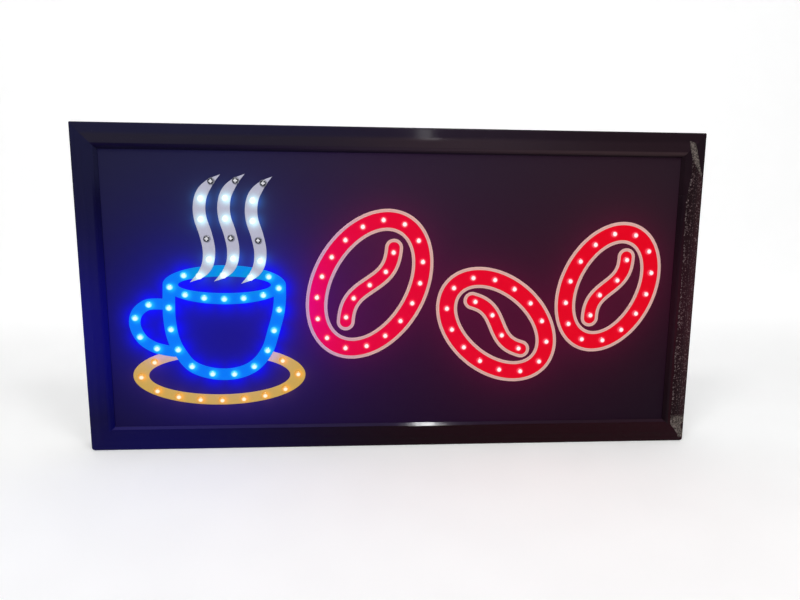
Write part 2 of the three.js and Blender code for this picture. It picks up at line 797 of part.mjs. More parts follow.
function capacitor() {
  const [x, z] = boardPlace(capacitorPlaceShares);
  const y = boardFront - capacitorRadius * Math.cos(Math.PI / capacitorSteps);
  return new THREE.CylinderGeometry(capacitorRadius, capacitorRadius, capacitorLength, capacitorSteps)
    .rotateY(Math.PI / capacitorSteps).rotateZ(Math.PI / 2).translate(x, y, z);
}

// Each lead leaves the header's top face at its own pin; the switch's lead has the first one.
const headerTop = boardZ + boardHeight / 2;
const pinTop = (pin) => new THREE.Vector3(
  boardX + (pin - (pinCount - 1) / 2) * headerPitch,
  boardFront - headerHeight / 2,
  headerTop + fitGap + leadRadius,
);

function leadHeader() {
  const half = (pinCount * headerPitch) / 2;
  const front = boardFront - headerHeight;
  return box(boardX - half, boardX + half, front, boardFront, headerTop - headerDepth, headerTop);
}

function transistor(slot) {
  const size = [transistorWidth, transistorLength];
  return chipBlock(size, transistorHeight, boardPlace(transistorPlaceShares[slot]));
}

// A lead with some slack, which takes it off the straight line between its two ends.
function lead(from, to, slack) {
  const middle = from.clone().lerp(to, 1 / 2).add(slack);
  const path = new THREE.QuadraticBezierCurve3(from, middle, to);
  const section = Array.from({ length: leadSides }, (_, i) => {
    const turn = (2 * Math.PI * i) / leadSides;
    return new THREE.Vector2(leadRadius * Math.cos(turn), leadRadius * Math.sin(turn));
  });
  const options = { steps: leadSteps, extrudePath: path, bevelEnabled: false };
  return new THREE.ExtrudeGeometry(new THREE.Shape(section), options);
}

// Each figure's lead goes from its own pin to one of its lamps; in this order none crosses another.
const leadOrder = [
  "saucer", "cup", "steam_left", "steam_middle", "steam_right", "large_bean", "low_bean", "high_bean",
];

function stringLead(slot) {
  const { lamps } = figures[leadOrder[slot]];
  const target = lamps[Math.round(leadLampShares[slot] * (lamps.length - 1))];
  const from = pinTop(slot + 1);
  const to = new THREE.Vector3(target.x, stripBack + fitGap + leadRadius, target.y + signHeight / 2);
  return lead(from, to, new THREE.Vector3(0, 0, leadRise));
}

function hanger(x) {
  const [half, ear, ramp] = [hangerLength / 2, hangerEar, hangerRamp];
  const underside = [[-half, 0], [ear - half, 0], [ear + ramp - half, hangerRise]];
  const whole = [...underside, ...underside.map(([px, rise]) => [-px, rise]).reverse()];
  const points = [...whole, ...whole.map(([px, rise]) => [px, rise + hangerGauge]).reverse()];
  const shape = new THREE.Shape(points.map(([px, rise]) => new THREE.Vector2(x + px, coverBack + rise)));
  const z = signHeight - hangerFromTop - hangerHeight / 2;
  const options = { depth: hangerHeight, bevelEnabled: false };
  const strap = new THREE.ExtrudeGeometry(shape, options).translate(0, 0, z);
  const toothPitch = (hangerLength - 2 * ear - 2 * ramp) / toothCount;
  const notches = Array.from({ length: toothCount }, (_, i) => {
    const middle = x + (i - (toothCount - 1) / 2) * toothPitch;
    return new THREE.Shape([
      new THREE.Vector2(middle - toothPitch / 2 + fitGap, z - overrun - signHeight / 2),
      new THREE.Vector2(middle + toothPitch / 2 - fitGap, z - overrun - signHeight / 2),
      new THREE.Vector2(middle, z + toothDepth - signHeight / 2),
    ]);
  });
  const teeth = plate(notches, coverBack, hangerRise + hangerGauge + overrun);
  const ownRivets = hangerRivetPlaces().filter(([rivetX]) => Math.abs(rivetX - x) < half);
  const strapBack = coverBack + hangerGauge + overrun;
  const rivets = ownRivets.map(([rivetX, rivetZ]) => {
    return peg(rivetRadius + fitGap, coverBack - overrun, strapBack, fastenerSteps, rivetX, rivetZ);
  });
  return cut(strap, teeth, ...rivets);
}

// The leads that bring the current in: from the inlet to the switch, and on to the board.
function legEnd(step) {
  const { caseX, caseHalf } = switchParts();
  const x = caseX + legLength + fitGap + leadRadius;
  return new THREE.Vector3(x, switchDepth, switchHeight + (step * caseHalf[1]) / 2);
}

function switchLead() {
  const to = pinTop(0);
  return lead(legEnd(0), to, new THREE.Vector3(0, 0, -leadDrop));
}

function inletLead() {
  const x = frameWall + inletBodyLength / 2 - signWidth / 2;
  const from = new THREE.Vector3(x, inletDepth, inletHeight + inletBody / 2 + fitGap + leadRadius);
  return lead(from, legEnd(-1), new THREE.Vector3(leadDrop, 0, 0));
}

function finish(color, roughness, metalness = 0, glow = 0x000000) {
  return new THREE.MeshStandardMaterial({ color, roughness, metalness, emissive: glow });
}

const glossBlack = finish(0x141216, 0.12);
const mattBlack = finish(0x17131c, 0.7);
const coverBlack = finish(0x1a1a1c, 0.55);
const blueFilm = finish(0x0171f4, 0.5);
const amberFilm = finish(0xceaa5c, 0.5);
const greyFilm = finish(0xb9bfcf, 0.5);
const redFilm = finish(0xe30422, 0.5);
const steel = finish(0xb8bcc0, 0.35, 1);
const board = finish(0x2c5a34, 0.6);
const packageBlack = finish(0x1c1c1e, 0.6);
const headerWhite = finish(0xe8e4d8, 0.5);
const capacitorBlue = finish(0x20304e, 0.4);
const leadGrey = finish(0x3a3a40, 0.6);
const whiteLamp = finish(0xf4ffff, 0.1, 0, 0x9fd8ff);
const blueLamp = finish(0xb8e4ff, 0.1, 0, 0x3a9cff);
const amberLamp = finish(0xfff0b4, 0.1, 0, 0xffc860);
const redLamp = finish(0xffc4d8, 0.1, 0, 0xff4060);

const sign = new THREE.Group();

function add(name, geometry, material) {
  const mesh = new THREE.Mesh(tidy(geometry), material);
  mesh.name = name;
  sign.add(mesh);
}

const looks = {
  steam_left: [greyFilm, whiteLamp, 2],
  steam_middle: [greyFilm, whiteLamp, 2],
  steam_right: [greyFilm, whiteLamp, 2],
  cup: [blueFilm, blueLamp, 1],
  saucer: [amberFilm, amberLamp, 1],
  large_bean: [redFilm, redLamp, 1],
  low_bean: [redFilm, redLamp, 1],
  high_bean: [redFilm, redLamp, 1],
};

add("front_frame", frontFrame(), glossBlack);
add("sign_panel", signPanel(), mattBlack);
add("back_cover", backCover(), coverBlack);
for (const [name, figure] of Object.entries(figures)) {
  const [filmFinish, lampFinish, layer] = looks[name];
  add(`${name}_film`, film(figure.film, layer, figure.hiddenBy), filmFinish);
  if (figure.crease) add(`${name}_crease_film`, film(figure.crease, layer), filmFinish);
  add(`${name}_lamps`, lampString(figure), lampFinish);
}
add("switch_housing", switchHousing(), steel);
add("switch_slider", switchSlider(), mattBlack);
add("inlet_socket", inletSocket(), coverBlack);
add("controller_board", controllerBoard(), board);
const chip = chipBlock([chipLength, chipWidth], chipHeight, boardPlace(chipPlaceShares));
add("flasher_chip", chip, packageBlack);
add("capacitor", capacitor(), capacitorBlue);
add("lead_header", leadHeader(), headerWhite);
["white", "blue", "red"].forEach((name, slot) => add(`${name}_transistor`, transistor(slot), packageBlack));
boardScrewPlaces.forEach(([x, z], i) => {
  const tip = boardFront + boardScrewLength;
  const crown = boardFront - boardScrewHeadHeight;
  const screw = fastener(boardScrewRadius, boardScrewHeadRadius, tip, boardFront, crown, x, z);
  add(`board_screw_${i + 1}`, screw, steel);
});
bossPlaces().forEach(([x, z], i) => {
  const tip = coverBack + fitGap - screwLength;
  const crown = coverBack + screwHeadHeight;
  add(`cover_screw_${i + 1}`, fastener(screwRadius, screwHeadRadius, tip, coverBack, crown, x, z), steel);
});
add("left_hanger", hanger(-hangerX), steel);
add("right_hanger", hanger(hangerX), steel);
hangerRivetPlaces().forEach(([x, z], i) => {
  const seat = coverBack + hangerGauge;
  const crown = seat + rivetHeadHeight;
  const rivet = fastener(rivetRadius, rivetHeadRadius, coverBack - rivetLength, seat, crown, x, z);
  add(`hanger_rivet_${i + 1}`, rivet, steel);
});
add("switch_lead", switchLead(), leadGrey);
add("inlet_lead", inletLead(), leadGrey);
leadOrder.forEach((figure, slot) => add(`${figure}_lead`, stringLead(slot), leadGrey));

// The origin is the middle of the bottom of the sign's box, which the switch's knob widens on its own side.
sign.position.set(knobReach / 2, -signDepth / 2, 0);

export default sign;
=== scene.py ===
"""Looks of the illuminated sign: printed figures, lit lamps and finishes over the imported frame.

The sign's shapes are in millimetres from the middle of the panel, with depths behind its front,
until a mesh is made. The camera, the studio and the places in a finish are in the frame's metres.
"""

from functools import partial

import bpy
import numpy as np
from mathutils import Matrix


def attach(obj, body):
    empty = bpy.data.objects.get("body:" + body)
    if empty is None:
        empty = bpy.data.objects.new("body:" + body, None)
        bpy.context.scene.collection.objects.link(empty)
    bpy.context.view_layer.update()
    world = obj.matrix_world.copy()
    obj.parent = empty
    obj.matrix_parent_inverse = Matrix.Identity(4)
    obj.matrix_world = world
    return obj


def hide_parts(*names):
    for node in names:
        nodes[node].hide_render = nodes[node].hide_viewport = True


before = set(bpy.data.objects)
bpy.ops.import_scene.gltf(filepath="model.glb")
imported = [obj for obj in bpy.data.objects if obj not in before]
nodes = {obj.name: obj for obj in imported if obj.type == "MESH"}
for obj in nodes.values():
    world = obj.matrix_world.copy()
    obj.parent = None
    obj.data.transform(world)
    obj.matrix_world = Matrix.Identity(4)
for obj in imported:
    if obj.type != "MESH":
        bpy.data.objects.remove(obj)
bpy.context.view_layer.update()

metre, millimetre = 1000.0, 0.001  # a metre in millimetres, and a millimetre in metres
sign_width, sign_height = 480.0, 250.0
origin_shift = np.array([1.6, -11.0, 125.0])
panel_front, panel_back = 2.8, 5.8
film_front, steam_front = 2.5, 2.2
film_thickness = 0.25
film_step = 0.02  # a film that crosses another one lies this much behind it


def linear(code):
    """sRGB hex to linear red, green and blue: v / 12.92 up to 0.04045, and above it
    ((v + 0.055) / 1.055) ** 2.4."""
    value = np.array([int(code[i:i + 2], 16) for i in (0, 2, 4)]) / 255
    return np.where(value <= 0.04045, value / 12.92, ((value + 0.055) / 1.055) ** 2.4)


def rgba(code):
    """The same colour as a four-number socket value."""
    return (*linear(code), 1.0)


# Camera


def make_camera():
    """A 24 mm lens on a 36 mm sensor; the sign's corners in the photograph give its place and its
    directions."""
    right = (0.99813879, -0.06053455, 0.00738447)
    up = (0.00082292, 0.13444905, 0.99092017)
    back = (-0.06097775, -0.98906978, 0.13424863)
    place = (-0.022289, -0.423148, 0.175457)
    data = bpy.data.cameras.new("camera")
    data.sensor_width = 36.0
    data.lens = 24.09
    data.clip_start = 0.01
    camera = bpy.data.objects.new("camera", data)
    turn = Matrix((right, up, back)).transposed().to_4x4()
    camera.matrix_world = Matrix.Translation(place) @ turn
    bpy.context.scene.collection.objects.link(camera)
    bpy.context.scene.camera = camera


make_camera()


# Meshes


def placed(x, depth, z):
    """Millimetres from the panel's middle and the sign's front, as metres in the frame's axes."""
    stacked = np.stack(np.broadcast_arrays(x, depth, z), -1).astype(float)
    return (stacked + origin_shift) * millimetre


def mesh_piece(name, points, faces, look, values=None, body="sign_body"):
    """A smooth mesh from points (N, 3) in metres and faces; `values` holds one number or colour a
    point by name. It rides on the body, if there is one."""
    mesh = bpy.data.meshes.new(name)
    if isinstance(faces, np.ndarray):
        faces = faces.tolist()
    mesh.from_pydata(points.tolist(), [], faces)
    for key, data in (values or {}).items():
        data = np.asarray(data, np.float32)
        if data.ndim == 1:
            mesh.attributes.new(key, "FLOAT", "POINT").data.foreach_set("value", data)
        else:
            four = np.concatenate([data, np.ones((len(data), 1), np.float32)], 1)
            mesh.attributes.new(key, "FLOAT_COLOR", "POINT").data.foreach_set("color", four.ravel())
    mesh.polygons.foreach_set("use_smooth", [True] * len(mesh.polygons))
    mesh.update()
    piece = bpy.data.objects.new(name, mesh)
    bpy.context.scene.collection.objects.link(piece)
    piece.data.materials.append(look)
    if body:
        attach(piece, body)
    return piece


def grid_faces(rows, columns, wrap=False):
    """Quads of a grid of points, row by row; with wrap the last row joins the first."""
    index = np.arange(rows * columns).reshape(rows, columns)
    if wrap:
        index = np.concatenate([index, index[:1]])
    a, b, c, d = index[:-1, :-1], index[1:, :-1], index[1:, 1:], index[:-1, 1:]
    return np.stack([a, b, c, d], -1).reshape(-1, 4)


def front_sheet(name, x, z, depth, look, values, wrap=False, thickness=film_thickness):
    """A sheet x(i, j), z(i, j) at one depth, its faces turned to the front, and its thickness
    behind it. The sum of the areas, with their signs, tells which way the faces look."""
    faces = grid_faces(*x.shape, wrap)
    p, q, r = (np.stack([x.ravel()[faces[:, k]], z.ravel()[faces[:, k]]], -1) for k in (0, 1, 2))
    if np.cross(q - p, r - q).sum() < 0:
        faces = faces[:, ::-1]
    piece = mesh_piece(name, placed(x.ravel(), depth, z.ravel()), faces, look, values)
    solid = piece.modifiers.new("thickness", "SOLIDIFY")
    solid.thickness = thickness * millimetre
    solid.offset = -1.0
    return piece


# Curves of the figures


def lengths(line):
    """The length run from a line's start to each of its places."""
    return np.concatenate([[0], np.cumsum(np.linalg.norm(np.diff(line, axis=0), axis=1))])


def at_lengths(line, at):
    """The places that lie these lengths along a line."""
    run = lengths(line)
    return np.stack([np.interp(at, run, line[:, k]) for k in (0, 1)], -1)


def spline(points, count):
    """Cubic stretches through the points, each with end slopes of half the chord over its
    neighbours, then `count` places at equal steps along the whole length."""
    p = np.asarray(points, float)
    before = np.concatenate([p[:1], p[:-1]])
    after = np.concatenate([p[1:], p[-1:]])
    t = np.linspace(0, len(p) - 1, 60 * (len(p) - 1) + 1)
    i = np.minimum(t.astype(int), len(p) - 2)
    w = (t - i)[:, None]
    slope0 = (p[i + 1] - before[i]) / 2
    slope1 = (after[i + 1] - p[i]) / 2
    fine = (2 * p[i] - 2 * p[i + 1] + slope0 + slope1) * w**3
    fine += (3 * p[i + 1] - 3 * p[i] - 2 * slope0 - slope1) * w**2 + slope0 * w + p[i]
    return at_lengths(fine, np.linspace(0, lengths(fine)[-1], count))


def sides(line):
    """The unit direction to the left of a line at each of its places."""
    along = np.gradient(line, axis=0)
    along /= np.linalg.norm(along, axis=1)[:, None]
    return np.stack([-along[:, 1], along[:, 0]], -1)


def ribbon(line, half_width, columns=13):
    """Sheet across a line: place(u, v) = line(u) + v * half_width(u) * side(u), with v from -1
    to 1; with it comes v * half_width(u)."""
    v = np.linspace(-1, 1, columns)
    reach = np.broadcast_to(half_width, (len(line),))[:, None] * v
    sheet = line[:, None, :] + reach[..., None] * sides(line)[:, None, :]
    return sheet[..., 0], sheet[..., 1], reach


def oval(length, width, turns):
    """Points of an oval at these shares of a whole turn."""
    angle = 2 * np.pi * np.asarray(turns)
    return np.stack([length / 2 * np.cos(angle), width / 2 * np.sin(angle)], -1)


def round_turns(count):
    """Even shares of a whole turn, from 0 to the last before 1."""
    return np.linspace(0, 1, count + 1)[:-1]


def between(outer, inner, columns=13):
    """Sheet between two lines: place(u, v) = outer(u) + v * (inner(u) - outer(u)), with v from 0
    to 1."""
    v = np.linspace(0, 1, columns)[None, :, None]
    sheet = outer[:, None, :] * (1 - v) + inner[:, None, :] * v
    return sheet[..., 0], sheet[..., 1]


rim = {"x": -132.8, "z": 6.0, "width": 92.6, "height": 30.0, "side": 11.3, "front": 8.6}
cup_depth, cup_band = 73.9, 9.2
handle_reach, handle_band = 26.6, 8.4
wisp_height, wisp_reach, wisp_band, wisp_taper = 80.6, 25.3, 9.4, 17.0
saucer = {
    "width": 132.0, "height": 47.6, "side": 11.8, "front": 8.2, "drop": 71.0, "shift": 5.9,
    "start": 0.332, "end": 1.153,
}
beans = {
    "large_bean": {"at": (-22.0, 6.0), "length": 120.0, "width": 84.0, "tilt": 1.05},
    "low_bean": {"at": (79.0, -26.0), "length": 104.0, "width": 74.0, "tilt": 2.44},
    "high_bean": {"at": (168.0, 4.0), "length": 104.0, "width": 74.0, "tilt": 1.13},
}
bean_band, crease_band, border = 12.0, 9.0, 2.5
crease_reach, crease_sway = 0.8, 0.1  # shares of the length and the width inside a bean's band

wisp_shares = np.array([
    [0, 0], [0.35, 0.08], [0.545, 0.175], [0.595, 0.309], [0.515, 0.453],
    [0.38, 0.597], [0.362, 0.714], [0.452, 0.825], [0.691, 0.924], [1, 1],
])
wisp_foot_shares = {
    "steam_left": (-0.278, 0.067), "steam_middle": (-0.083, 0.087), "steam_right": (0.136, 0.03),
}
cup_side_shares = np.array([
    [-0.45, 0], [-0.457, -0.17], [-0.459, -0.355], [-0.438, -0.55], [-0.388, -0.705],
    [-0.286, -0.866], [-0.116, -0.943], [0.07, -0.941], [0.224, -0.86], [0.334, -0.694],
    [0.391, -0.484], [0.432, -0.3], [0.448, -0.15], [0.45, 0],
])
handle_shares = np.array([
    [0.117, -0.203], [-0.3, -0.2], [-0.519, -0.218], [-0.737, -0.283], [-0.835, -0.373],
    [-0.797, -0.476], [-0.624, -0.581], [-0.338, -0.652], [-0.034, -0.686], [0.286, -0.706],
])


# Lamps and the light they spill


def lamp_places(node):
    """The lamps of a string, from the tips of its domes: (n, 2) places in millimetres, the highest
    first."""
    mesh = nodes[node].data
    points = np.empty(len(mesh.vertices) * 3, np.float32)
    mesh.vertices.foreach_get("co", points)
    points = points.reshape(-1, 3) * metre - origin_shift
    tips = points[points[:, 1] < points[:, 1].min() + 0.01][:, [0, 2]]
    tips = np.unique(np.round(tips, 2), axis=0)
    return tips[np.argsort(-tips[:, 1])]


dark_in_wisp = [0, 3]  # which lamps of a wisp don't light, counted from its top
lamps = {
    name[:-len("_lamps")]: lamp_places(name) for name in sorted(nodes) if name.endswith("_lamps")
}
unlit = {name: lamps[name][dark_in_wisp] for name in wisp_foot_shares}
lit = {
    name: np.delete(places, dark_in_wisp, 0) if name in unlit else places
    for name, places in lamps.items()
}
glow_shift = np.array([1.1, -0.5])  # the glow that a film shows lies right of and below its lamp
glow_sets = {
    "blue": lit["cup"] + glow_shift,
    "white": np.concatenate([lit[name] for name in sorted(wisp_foot_shares)]) + glow_shift,
    "amber": lit["saucer"] + glow_shift,
    "red": np.concatenate([lit[name] for name in sorted(beans)]),
}


def distances(x, z, places):
    """Squared distances from each point to each lamp."""
    return (x.reshape(-1, 1) - places[:, 0]) ** 2 + (z.reshape(-1, 1) - places[:, 1]) ** 2


def spill(x, z, colour, size, power=1.5):
    """Light that falls off from each lamp as (1 + d2 / size2) ** -power, added over the lamps of a
    colour."""
    return ((1 + distances(x, z, glow_sets[colour]) / size**2) ** -power).sum(1)[:, None]


def halo(x, z, colour, size):
    """A soft round halo about each lamp, exp(-d2 / size2), the strongest one at each point."""
    return np.exp(-distances(x, z, glow_sets[colour]) / size**2).max(1)[:, None]


# Finishes

black = (0.0, 0.0, 0.0, 1.0)
white = (1.0, 1.0, 1.0, 1.0)
soft = {"interpolation_type": "SMOOTHSTEP"}
blend = {"data_type": "RGBA"}  # the share is input 0, the two colours are inputs 6 and 7
plus, minus, times, over = (
    {"operation": name} for name in ("ADD", "SUBTRACT", "MULTIPLY", "DIVIDE")
)
larger, smaller, below = ({"operation": name} for name in ("MAXIMUM", "MINIMUM", "LESS_THAN"))
unsigned, root, power_of_e = ({"operation": name} for name in ("ABSOLUTE", "SQRT", "EXPONENT"))


def feed(node, inputs):
    """Fills a node's inputs, in their order or by key, with values or links; a node that is given
    feeds its first output in use."""
    for key, value in inputs.items() if isinstance(inputs, dict) else enumerate(inputs):
        if isinstance(value, bpy.types.Node):
            value = next(output for output in value.outputs if output.enabled)
        if isinstance(value, bpy.types.NodeSocket):
            node.id_data.links.new(value, node.inputs[key])
        else:
            node.inputs[key].default_value = value


def add_node(tree, kind, inputs=(), **settings):
    """Adds a node with its own settings, and feeds it."""
    node = tree.nodes.new("ShaderNode" + kind)
    for key, value in settings.items():
        setattr(node, key, value)
    feed(node, inputs)
    return node


def finish(name, **sockets):
    """A material with one Principled shader and these values on its sockets; with it come `add`,
    which adds a node to it, the shader, and the Object coordinates to draw on."""
    made = bpy.data.materials.new(name)
    made.use_nodes = True
    made.node_tree.nodes.clear()
    add = partial(add_node, made.node_tree)
    shader = add("BsdfPrincipled", {key.replace("_", " "): v for key, v in sockets.items()})
    add("OutputMaterial", {"Surface": shader})
    return made, add, shader, add("TexCoord").outputs["Object"]


def faces_front(add):
    """1 on surfaces that look to the sign's front, 0 on those that look sideways or back."""
    normal = add("NewGeometry").outputs["Normal"]
    return add("MapRange", (add("SeparateXYZ", (normal,)).outputs["Y"], -0.1, -0.4), **soft)


def mottled(add, shader, where, code_a, code_b, size, rough_low, rough_high):
    """Two close colours and two roughnesses that drift over the surface."""
    cloud = add("TexNoise", {"Vector": where, "Scale": metre / size, "Detail": 3.0})
    share = add("MapRange", (cloud, 0.35, 0.65), **soft)
    feed(shader, {
        "Base Color": add("Mix", {0: share, 6: rgba(code_a), 7: rgba(code_b)}, **blend),
        "Roughness": add("MapRange", (cloud, 0.3, 0.7, rough_low, rough_high), **soft),
    })


def blob(add, axes, x, z, width, height):
    """A soft round patch of 1 at x, z in metres, falling off as exp(-d2)."""
    squares = []
    for axis, middle, reach in (("X", x, width), ("Z", z, height)):
        off = add("Math", (add("Math", (axes[axis], middle), **minus), reach), **over)
        squares.append(add("Math", (off, off), **times))
    falling = add("Math", (add("Math", squares, **plus), -1.0), **times)
    return add("Math", (falling,), **power_of_e)


def frame_places(add, axes):
    """How far each place of the frame holds at a point: "flat" is the top rail, mostly its flat;
    "bevel" is the inner band where the frame turns down to the panel, on the top rail and on the
    side rails, where it fades towards the top; "high step" is that band on the top rail without its
    last step; "low step" is its last step on the bottom rail; and "dull" is the bevel with the
    outer edge, where the gloss is dulled. Insets are in metres from the sign's outline."""
    middle_x, middle_z = origin_shift[0] / metre, origin_shift[2] / metre
    half_x, half_z = sign_width / 2 / metre, sign_height / 2 / metre
    off_x = add("Math", (add("Math", (axes["X"], middle_x), **minus),), **unsigned)
    off_z = add("Math", (axes["Z"], middle_z), **minus)
    from_end = add("Math", (half_x, off_x), **minus)
    from_edge = add("Math", (half_z, add("Math", (off_z,), **unsigned)), **minus)
    inset = add("Math", (from_end, from_edge), **smaller)
    all_round = add("MapRange", (inset, 0.0150, 0.0156), **soft)
    past_mitre = add("Math", (from_end, from_edge), **minus)
    level = add("MapRange", (past_mitre, -0.0003, 0.0003), **soft)
    low_rail = add("Math", (level, add("Math", (off_z, 0.0), **below)), **times)
    top_rail = add("Math", (level, low_rail), **minus)
    side_rail = add("Math", (1.0, level), **minus)
    past_edge = add("MapRange", (from_edge, 0.006, 0.010, 0.3, 1.0), **soft)
    before_last = add("MapRange", (from_edge, 0.0186, 0.0178), **soft)
    last_step = add("MapRange", (from_edge, 0.0171, 0.0177), **soft)
    below_top = add("MapRange", (axes["Z"], 0.215, 0.190), **soft)
    on_sides = add("Math", (side_rail, below_top), **times)
    bevel = add("Math", (all_round, add("Math", (on_sides, top_rail), **larger)), **times)
    edge = add("MapRange", (inset, 0.0017, 0.0009), **soft)
    on_top = add("Math", (top_rail, all_round), **times)
    return {
        "flat": add("Math", (top_rail, past_edge), **times),
        "bevel": bevel,
        "high step": add("Math", (on_top, before_last), **times),
        "low step": add("Math", (low_rail, last_step), **times),
        "dull": add("Math", (bevel, edge), **larger),
    }


def moulded_gloss_abs():
    """Injection-moulded ABS: near black, with the sharp but weak mirror of a worn gloss, faint flow
    marks and dust. Its colour holds painted light and shade: a painted sheen and a painted
    highlight on the top rail, paler towards the top, a painted dark reflection where it turns down
    to the panel, where the gloss is also duller, painted light on the bottom rail's up-facing step,
    and the painted blue and red light of the lit cup and beans. The right rail keeps the rough grey
    skin of an old strip of tape."""
    made, add, shader, where = finish(
        "gloss_abs_frame", IOR=1.5, Specular_IOR_Level=0.06, Emission_Strength=1.0,
    )
    axes = add("SeparateXYZ", (where,)).outputs
    across = add("MapRange", (axes["X"], -0.2, 0.2), **soft)
    upwards = add("MapRange", (axes["Z"], 0.08, 0.24), **soft)
    # Painted light and shade, at the left and the right: the head paler than the foot as light from
    # above falls, bluish at the left from the cup and reddish at the right from the beans, a
    # painted sheen on the top rail's flat, a painted dark reflection on the bevel, a painted
    # reflection on the top rail's high step and painted light on the bottom rail's up-facing low
    # step.
    left_and_right = {
        "foot": ("0d070e", "250711"), "head": ("1d1d3a", "1e1219"), "flat": ("272433", "281a21"),
        "bevel": ("030022", "12040e"), "high step": ("0b0428", "3a2a2e"),
        "low step": ("2c2648", "2c1a25"),
    }
    painted_light_tones = {
        name: add("Mix", {0: across, 6: rgba(left), 7: rgba(right)}, **blend)
        for name, (left, right) in left_and_right.items()
    }
    # A painted highlight on the top rail's flat, where a far strip light would mirror.
    paler = blob(add, axes, 0.05, 0.24, 0.08, 0.05)
    painted_light_tones["flat"] = add("Mix", {0: paler, 6: painted_light_tones["flat"], 7: rgba("362a32")}, **blend)
    places = frame_places(add, axes)
    shares = {**places, "bevel": add("Math", (places["bevel"], 0.9), **times)}
    colour = add("Mix", {0: upwards, 6: painted_light_tones["foot"], 7: painted_light_tones["head"]}, **blend)
    for name in ("flat", "bevel", "high step", "low step"):
        colour = add("Mix", {0: shares[name], 6: colour, 7: painted_light_tones[name]}, **blend)
    flow = add("TexNoise", {"Vector": where, "Scale": metre / 26.0, "Detail": 3.0})
    grit = add("TexNoise", {"Vector": where, "Scale": metre / 0.9, "Detail": 1.0})
    dust = add("MapRange", (grit, 0.72, 0.80), **soft)
    thin_dust = add("Math", (dust, 0.06), **times)
    colour = add("Mix", {0: thin_dust, 6: colour, 7: rgba("8d8790")}, **blend)
    skin, skin_colour = tape_skin(add, where, axes)
    polish = add("MapRange", (flow, 0.3, 0.7, 0.06, 0.13), **soft)
    polish = add("Math", (polish, add("Math", (places["dull"], 0.3), **times)), **plus)
    front = faces_front(add)
    # Painted light: the frame's front gives off the blue of the lit cup beside and under it and the
    # red of the beans.
    beside_cup = blob(add, axes, -0.255, 0.095, 0.09, 0.062)
    under_cup = add("Math", (blob(add, axes, -0.19, 0.0, 0.10, 0.06), 0.38), **times)
    painted_cup_light = add("Math", (add("Math", (beside_cup, under_cup), **larger), front), **times)
    painted_bean_light = add("Math", (blob(add, axes, 0.25, 0.115, 0.06, 0.05), front), **times)
    painted_cool_light = add("Mix", {0: painted_cup_light, 6: black, 7: rgba("00006a")}, **blend)
    height = add("Math", (flow, add("Math", (dust, 0.3), **times)), **plus)
    feed(shader, {
        "Base Color": add("Mix", {0: skin, 6: colour, 7: skin_colour}, **blend),
        "Roughness": add("Mix", {0: skin, 2: polish, 3: 0.55}, data_type="FLOAT"),
        "Emission Color": add("Mix", {0: painted_bean_light, 6: painted_cool_light, 7: rgba("1a0008")}, **blend),
        "Normal": add("Bump", {
            "Height": height, "Distance": 0.05 * millimetre, "Strength": 0.15,
        }),
    })
    return made


